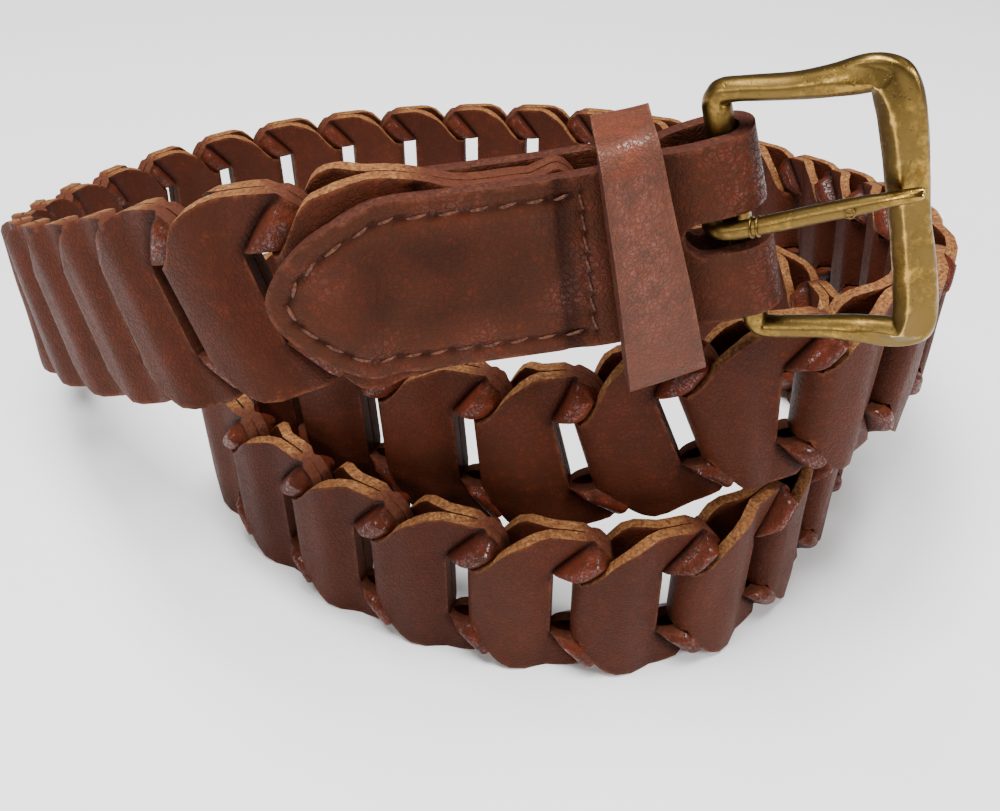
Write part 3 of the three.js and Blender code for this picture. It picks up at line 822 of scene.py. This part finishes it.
# The columns of faces are closest at the tab's tip and round the heel bar
TIP_END = 12 * MM
tip_columns = np.linspace(0, 1, 26)[:-1] ** 1.6 * TIP_END
strap_columns = np.concatenate([
    tip_columns,
    columns_between([
        (TIP_END, 56), (SLOT_FROM_RUN, 12), (FRONT_RUN, 14), (FRONT_RUN + TURN_RUN, 8),
        (SLOT_TO_RUN, 30), (LAST_RUN - BACK_END_TAPER, 6), (LAST_RUN, 0),
    ]),
])
SLOT_ROWS = 4
SIDE_ROWS = 18
strap, strap_x, strap_row = flat_sheet("folded_strap", strap_columns, 2 * (SLOT_ROWS + SIDE_ROWS))
slot_share = np.clip(np.abs(strap_row) / SLOT_ROWS, 0, 1)
side_share = np.clip((np.abs(strap_row) - SLOT_ROWS) / SIDE_ROWS, 0, 1)
width_there = strap_half(strap_x)
slot_there = np.minimum(TONGUE_SLOT_HEIGHT / 2, width_there * 0.25)
into_slot = np.minimum(strap_x - SLOT_FROM_RUN, SLOT_TO_RUN - strap_x)
slot_turn = TONGUE_SLOT_HEIGHT / 2
round_end = np.sqrt(np.clip(1 - (1 - np.clip(into_slot / slot_turn, 0, 1)) ** 2, 0, 1))
in_slot_run = (into_slot >= -0.001 * MM) & (into_slot < slot_turn)
slot_there = np.where(in_slot_run, slot_there * np.maximum(round_end, 0.2), slot_there)
strap_across = np.sign(strap_row) * (slot_there * slot_share + (width_there - slot_there) * side_share)
move_to(strap, np.stack([strap_x, strap_across, np.zeros(len(strap_x))], axis=1))
delete_faces(
    strap,
    lambda face: SLOT_FROM_RUN < face.center.x < SLOT_TO_RUN
    and max(abs(strap_row[v]) for v in face.vertices) <= SLOT_ROWS,
)
for material in (tab_leather, burnished):
    strap.data.materials.append(material)
thicken(strap, edge_round=0.5 * MM)
mark_edges(strap)

# Thread and tools press their marks into the strap's face
SEAM_GROOVE = 0.2 * MM
SEAM_GROOVE_WIDTH = 0.8 * MM
SEAM_RIDGE = 0.08 * MM
SEAM_RIDGE_AT = 1.7 * MM
SEAM_RIDGE_WIDTH = 0.9 * MM
HOLE_DEPTH = 0.35 * MM
HOLE_RADIUS = 0.55 * MM
PRESSED_DEPTH = 0.25 * MM
strap_flat = coordinates(strap)
seam_points = np.concatenate([seam[::2], np.linspace(cross_seam[0], cross_seam[1], 80)])
seam_distance = from_points(strap_flat[:, :2], seam_points)
hole_points = np.array([m + e * STITCH_PITCH * 0.42 * d for m, d in stitch_middles for e in (-1, 1)])
hole_distance = from_points(strap_flat[:, :2], hole_points)
on_face = strap_flat[:, 2] > LEATHER * 0.3
in_hole = np.exp(-((hole_distance / HOLE_RADIUS) ** 2))
on_seam = np.exp(-((seam_distance / SEAM_GROOVE_WIDTH) ** 2))
beside_seam = np.exp(-(((seam_distance - SEAM_RIDGE_AT) / SEAM_RIDGE_WIDTH) ** 2))
pressed = ease((strap_flat[:, 0] - PRESSED_FROM) / (0.8 * MM))
pressed *= ease((PRESSED_TO - strap_flat[:, 0]) / (2 * MM))
relief = SEAM_RIDGE * beside_seam - SEAM_GROOVE * on_seam - HOLE_DEPTH * in_hole - PRESSED_DEPTH * pressed
strap_flat[:, 2] += np.where(on_face, relief, 0)

# The tab's middle is darker, the stitch holes get painted shade and the pressed band is darker, and the
# leather gets coat gloss and a painted highlight in patches and on its turn
DARK_FROM = 6 * MM
DARK_TO = 38 * MM
DARK_HALF_WIDTH = 10 * MM
DARK_MIDDLE = 0.6 * MM
PATCHES_ALONG = 130
PATCHES_ACROSS = 110
PATCH_SEED = 5
middle_dark = ease((strap_flat[:, 0] - DARK_FROM) / (8 * MM)) * ease((DARK_TO - strap_flat[:, 0]) / (9 * MM))
middle_dark *= ease((DARK_HALF_WIDTH - np.abs(strap_flat[:, 1] - DARK_MIDDLE)) / (6 * MM))
patches = np.array([
    noise.noise(Vector((x * PATCHES_ALONG, y * PATCHES_ACROSS, PATCH_SEED))) for x, y, _ in strap_flat
])
# Painted shade in the stitch holes; the pressed band and the tab's middle are darker too
stain_and_painted_shade = 0.8 * in_hole + 0.6 * pressed + 0.5 * middle_dark * np.clip(0.7 + patches * 1.2, 0, 1)
mark(strap, "stain_and_painted_shade", np.where(on_face, np.clip(stain_and_painted_shade, 0, 1), 0))
# Painted highlight with coat gloss on the turn round the heel bar and in patches
on_turn = ease((strap_flat[:, 0] - FRONT_RUN + 1 * MM) / (2 * MM))
gloss_and_painted_highlight = np.clip(-patches * 1.4, 0, 0.4) * (1 - middle_dark) + 0.45 * on_turn
mark(strap, "gloss_and_painted_highlight", np.where(on_face, gloss_and_painted_highlight, 0))
move_to(strap, on_strap(strap_flat))
selected_only(strap)
bpy.ops.object.shade_smooth_by_angle(angle=SMOOTH_BELOW)
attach(strap, "belt")
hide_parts("buckle_strap")

# The stitches
# Waxed brown thread, sewn by hand through the tab and the leather beneath it, with a slight
# slant to each stitch, and pulled down into a shallow groove.
thread, start, shader = new_material("thread", specular=0.3)
place = start.node("ShaderNodeTexCoord", output="Object")
ply = place.fractal(2200, 3)
connect(
    start, shader,
    Base_Color=ply.rise(0.35, 0.65).blend((0.035, 0.009, 0.005, 1), (0.13, 0.042, 0.018, 1)),
    Roughness=ply * 0.2 + 0.45,
    Normal=start.node("ShaderNodeBump", inputs={"Strength": 0.5, "Distance": 0.1 * MM, "Height": ply}),
)
STITCH_LENGTH = 2.6 * MM
STITCH_WIDTH = 0.48 * MM
STITCH_SLANT = math.radians(9)
STITCH_UNEVENNESS = 0.07
STITCH_SINK = 0.22 * MM
STITCH_SEAT = 0.12 * MM
bpy.ops.mesh.primitive_uv_sphere_add(segments=10, ring_count=10, radius=0.5)
stitch = bpy.context.object
stitch.name = "stitch"
stitch.data.materials.append(thread)
stitch_shape = coordinates(stitch)[:, [2, 0, 1]]
stitch_shape[:, 0] = np.sign(stitch_shape[:, 0]) * np.abs(stitch_shape[:, 0] * 2) ** 0.8 / 2
stitch_shape = stitch_shape * [STITCH_LENGTH, STITCH_WIDTH, STITCH_WIDTH * 0.8]
stitch_shape[:, 2] -= STITCH_SINK * (np.abs(stitch_shape[:, 0]) / (STITCH_LENGTH / 2)) ** 2

stitches = []
for number, (middle, direction) in enumerate(stitch_middles):
    slant = STITCH_SLANT + random.Random(number).uniform(-STITCH_UNEVENNESS, STITCH_UNEVENNESS)
    turned = np.array([
        direction[0] * math.cos(slant) - direction[1] * math.sin(slant),
        direction[0] * math.sin(slant) + direction[1] * math.cos(slant),
    ])
    sideways = np.array([-turned[1], turned[0]])
    copy = own_copy(stitch, "stitch")
    flat = middle + stitch_shape[:, :1] * turned + stitch_shape[:, 1:2] * sideways
    move_to(copy, on_strap(np.hstack([flat, LEATHER / 2 - STITCH_SEAT + stitch_shape[:, 2:]])))
    stitches.append(copy)
bpy.data.objects.remove(stitch)
bpy.ops.object.select_all(action="DESELECT")
for piece in stitches:
    piece.select_set(True)
bpy.context.view_layer.objects.active = stitches[0]
bpy.ops.object.join()
stitching = bpy.context.object
stitching.name = "stitching"
bpy.ops.object.shade_smooth()
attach(stitching, "belt")

# The keeper
# A band of waxed leather, closed into a loop that slides on the strap, with raw cut edges. It is
# slack below the strap, where the belt's free tip goes through.
KEEPER_CORNER = 3 * MM
KEEPER_LIFT = 2.6 * MM
KEEPER_BOW = 0.5 * MM
KEEPER_WAVE = 0.5 * MM
KEEPER_WAVES = 60
KEEPER_ROWS = 12


def face_outwards(piece, merge=False):
    """Turns a piece's faces outwards, after merging its doubled vertices where asked."""
    selected_only(piece)
    bpy.ops.object.mode_set(mode="EDIT")
    bpy.ops.mesh.select_all(action="SELECT")
    if merge:
        bpy.ops.mesh.remove_doubles(threshold=0.01 * MM)
    bpy.ops.mesh.normals_make_consistent(inside=False)
    bpy.ops.object.mode_set(mode="OBJECT")


keeper_leather = leather(
    "keeper_leather", dark=(0.034, 0.0055, 0.003), middle=(0.075, 0.0115, 0.005), bright=(0.14, 0.03, 0.013),
    scuff=(0.26, 0.11, 0.06), rough=0.3, grain_size=0.75 * MM, wear=0.35, shine=0.16,
)
left = -OUTER_LEVEL - LEATHER - GAP
right = OUTER_LEVEL + LEATHER + KEEPER_ROOM_FRONT
low = -HALF_STRAP - KEEPER_ROOM_BELOW - LEATHER / 2
high = HALF_STRAP + KEEPER_ROOM_ABOVE + LEATHER / 2
corners = [
    (right - KEEPER_CORNER, low + KEEPER_CORNER, -90), (right - KEEPER_CORNER, high - KEEPER_CORNER, 0),
    (left + KEEPER_CORNER, high - KEEPER_CORNER, 90), (left + KEEPER_CORNER, low + KEEPER_CORNER, 180),
]
loop = []
for corner_out, corner_across, first_angle in corners:
    for angle in np.radians(first_angle + np.linspace(0, 90, 7)):
        round_out, round_across = KEEPER_CORNER * math.cos(angle), KEEPER_CORNER * math.sin(angle)
        loop.append((corner_out + round_out, corner_across + round_across))
loop = np.array([*loop, loop[0]])
loop_run = np.concatenate([[0], np.cumsum(np.linalg.norm(np.diff(loop, axis=0), axis=1))])
around = np.unique(np.concatenate([loop_run, np.linspace(0, loop_run[-1], 90)]))
around = around[np.concatenate([[True], np.diff(around) > 0.1 * MM])]
around[-1] = loop_run[-1]
keeper, keeper_x, keeper_row = flat_sheet("keeper_band", around, KEEPER_ROWS)
loop_out, loop_across = (np.interp(keeper_x, loop_run, loop[:, axis]) for axis in (0, 1))
middle_across = (high + low) / 2
bow = 1 - np.clip(np.abs(loop_across - middle_across) / ((high - low) / 2), 0, 1) ** 2
loop_out = loop_out + np.where(loop_out > 0, KEEPER_BOW * bow, 0)
loop_out = loop_out + np.where(loop_out > 0, -keeper_row / KEEPER_ROWS * KEEPER_LIFT, 0)
keeper_along = STRAP_LENGTH - KEEPER_AT + keeper_row / KEEPER_ROWS * KEEPER_WIDTH
move_to(keeper, np.stack([keeper_along, loop_out, loop_across], axis=1))
face_outwards(keeper, merge=True)
for material in (keeper_leather, burnished, raw_edge):
    keeper.data.materials.append(material)
thicken(keeper, edge_round=0.45 * MM, inner_side=2)
keeper_flat = coordinates(keeper)
edge_near = np.abs(np.abs(keeper_flat[:, 0] - (STRAP_LENGTH - KEEPER_AT)) - KEEPER_WIDTH / 2)
mark(keeper, "worn", np.clip(1 - edge_near / (2 * MM), 0, 1))
keeper_rise = np.clip((keeper_flat[:, 2] - low) / (high - low), 0, 1)
# The keeper's front gets coat gloss and a painted highlight, stronger towards its top and away from its edges
gloss_and_painted_highlight = ease(edge_near / (3 * MM)) * ease(keeper_rise * 1.6) * 0.8
mark(keeper, "gloss_and_painted_highlight", np.where(keeper_flat[:, 1] > 0, gloss_and_painted_highlight, 0))
wave = np.array([noise.noise(Vector(place) * KEEPER_WAVES) for place in keeper_flat])
keeper_flat[:, 0] += wave * KEEPER_WAVE
keeper_flat[:, 1] += wave * KEEPER_WAVE / 2
move_to(keeper, on_line(STRAP_LENGTH - keeper_flat[:, 0], keeper_flat[:, 1], keeper_flat[:, 2]))
face_outwards(keeper)
bpy.ops.object.shade_smooth_by_angle(angle=SMOOTH_BELOW)
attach(keeper, "belt")
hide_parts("keeper")

# The buckle's frame
# Cast brass, heavy at its right bar with mitred corners, gone dark with age and rubbed bright on
# the ridges. It swings on its heel bar, which lies in the strap's turn.
brass, start, shader = new_material("brass", metallic=1.0)
place = start.node("ShaderNodeTexCoord", output="Object")
ridge = start.marked("worn")
cloud = place.fractal(150, 6, 0.65)
speck = place.fractal(900, 5, 0.7)
pits = place.fractal(2400, 2)
aged = (cloud + speck * 0.55 - ridge * 0.45).rise(0.36, 0.8)
colour = cloud.rise(0.35, 0.65).blend((0.42, 0.25, 0.055, 1), (0.6, 0.38, 0.11, 1))
colour = (aged * 0.85).blend(colour, (0.075, 0.046, 0.013, 1))
colour = (pits.rise(0.66, 0.72) * 0.7).blend(colour, (0.07, 0.045, 0.02, 1))
height = speck * 0.7 + cloud + pits.rise(0.6, 0.75) * -0.7
bump = start.node("ShaderNodeBump", inputs={"Strength": 0.3, "Distance": 0.12 * MM, "Height": height})
connect(start, shader, Base_Color=colour, Roughness=aged * 0.24 + speck * 0.1 + 0.1, Normal=bump)

SMOOTH_LEVELS = 3
CAST_UNEVENNESS = 0.1 * MM
CAST_WAVES = 160
RIDGE_GAIN = 4


def mark_ridges(piece):
    """Marks how far each vertex stands out from its neighbours, for rubbed metal."""
    places = coordinates(piece)
    normals = np.array([vertex.normal for vertex in piece.data.vertices])
    pull = np.zeros(len(places))
    count = np.zeros(len(places))
    for edge in piece.data.edges:
        a, b = edge.vertices
        gap = places[b] - places[a]
        distance = np.linalg.norm(gap) + 1e-9
        pull[a] -= gap @ normals[a] / distance
        pull[b] += gap @ normals[b] / distance
        count[[a, b]] += 1
    mark(piece, "worn", np.clip(pull / count * RIDGE_GAIN, 0, 1))


# The buckle's own directions: towards its right bar, in towards the belt, and across its height
BUCKLE_TURN = math.radians(24)
bar_middle, bar_ahead = on_line(np.array([0, -MM]), np.zeros(2), np.zeros(2))
bar_up = on_line(np.zeros(1), np.zeros(1), np.array([MM]))[0] - bar_middle
bar_up /= np.linalg.norm(bar_up)
ahead = (bar_ahead - bar_middle) / np.linalg.norm(bar_ahead - bar_middle)
inward = -np.cross(ahead, bar_up)
buckle_x = ahead * math.cos(BUCKLE_TURN) - inward * math.sin(BUCKLE_TURN)
buckle_y = inward * math.cos(BUCKLE_TURN) + ahead * math.sin(BUCKLE_TURN)
buckle_axes = np.stack([buckle_x, buckle_y, bar_up])

# The frame's cast front: where its bars' ridge lies, and how far its two facets fall away
END_BAR_AT = 22.3 * MM
SIDE_BAR_AT = 18.4 * MM
FACETS_FROM = 16 * MM
RIDGE_RISE = 0.1 * MM
RIDGE_SET_OUT = 0.8 * MM
FACET_FALL = 1.1 * MM
MITRE_FROM = 19 * MM
MITRE_HEIGHT = 15.4 * MM
RIDGE_CREASE = 0.75


def ridge_frame(piece):
    """Cuts the frame's front into two facets that meet in a ridge, mitred at the corners."""
    local = (coordinates(piece) - bar_middle) @ buckle_axes.T
    outward = np.maximum(local[:, 0] - END_BAR_AT, np.abs(local[:, 2]) - SIDE_BAR_AT)
    front = (local[:, 1] < -1 * MM) & (local[:, 0] > FACETS_FROM)
    inner_line = front & (outward < 0)
    local[inner_line, 1] -= RIDGE_RISE
    local[inner_line & (np.abs(local[:, 2]) < SIDE_BAR_AT - 2 * MM), 0] += RIDGE_SET_OUT
    local[front & (outward > 0), 1] += FACET_FALL
    crease = piece.data.attributes.new("crease_edge", "FLOAT", "EDGE")
    for edge in piece.data.edges:
        a, b = edge.vertices
        on_ridge = inner_line[a] and inner_line[b]
        at_corner = front[a] and front[b] and min(local[a][0], local[b][0]) > MITRE_FROM
        mitred = at_corner and min(abs(local[a][2]), abs(local[b][2])) > MITRE_HEIGHT
        crease.data[edge.index].value = RIDGE_CREASE if on_ridge or mitred else 0
    move_to(piece, bar_middle + local @ buckle_axes)


def dressed_copy(node_name, piece_name, sharpen):
    """A smooth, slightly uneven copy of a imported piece."""
    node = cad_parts[node_name]
    piece = own_copy(node, piece_name)
    piece.parent = None
    piece.data.transform(node.matrix_world)
    piece.matrix_world = Matrix.Identity(4)
    piece.data.materials.clear()
    piece.data.materials.append(brass)
    face_outwards(piece, merge=True)
    sharpen(piece)
    apply_modifier(piece, "SUBSURF", levels=SMOOTH_LEVELS, render_levels=SMOOTH_LEVELS)
    mark_ridges(piece)
    places = coordinates(piece)
    normals = np.array([vertex.normal for vertex in piece.data.vertices])
    rough = np.array([noise.noise(Vector(place) * CAST_WAVES) for place in places])
    move_to(piece, places + normals * rough[:, None] * CAST_UNEVENNESS)
    bpy.ops.object.shade_smooth()
    return piece


cast_frame = dressed_copy("buckle_frame", "cast_frame", ridge_frame)
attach(cast_frame, "frame")
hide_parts("buckle_frame")

# The buckle's tongue
# A round brass wire, curled on the heel bar with its tip over the frame. It has two fine rings
# beside its curl and a small ring mark on its face.
TONGUE_TILT = 0.19


def slant_tongue(piece):
    """Leans the tongue towards the frame's upper corner, and tucks in the end of its curl."""
    local = (coordinates(piece) - bar_middle) @ buckle_axes.T
    local[:, 2] += np.maximum(local[:, 0], 0) * TONGUE_TILT
    curl_end = (local[:, 0] > 0.8 * MM) & (local[:, 1] > 0.6 * MM)
    local[curl_end, 0] *= 0.4
    move_to(piece, bar_middle + local @ buckle_axes)


wire_tongue = dressed_copy("buckle_tongue", "wire_tongue", slant_tongue)
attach(wire_tongue, "tongue")
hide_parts("buckle_tongue")


def brass_ring(name, along, front, radius, thick, lies):
    """A fine raised ring on the tongue, which lies round the wire or flat on its face."""
    bpy.ops.mesh.primitive_torus_add(
        major_radius=radius, minor_radius=thick, major_segments=32, minor_segments=8
    )
    ring = bpy.context.object
    ring.name = name
    across, deep, face = {"round the wire": (1, 2, 0), "on the face": (0, 2, 1)}[lies]
    shape = coordinates(ring)
    local = np.zeros_like(shape)
    local[:, across], local[:, deep], local[:, face] = shape[:, 0], shape[:, 1], shape[:, 2]
    local += [along, front, along * TONGUE_TILT]
    move_to(ring, bar_middle + local @ buckle_axes)
    ring.data.materials.append(brass)
    face_outwards(ring)
    bpy.ops.object.shade_smooth()
    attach(ring, "tongue")


brass_ring(
    "ring_mark", along=16.2 * MM, front=-5.05 * MM, radius=0.62 * MM, thick=0.13 * MM, lies="on the face"
)
for name, along, front in (("coil_ring_1", 3.2 * MM, -3.72 * MM), ("coil_ring_2", 4.1 * MM, -3.76 * MM)):
    brass_ring(name, along, front, radius=1.3 * MM, thick=0.2 * MM, lies="round the wire")
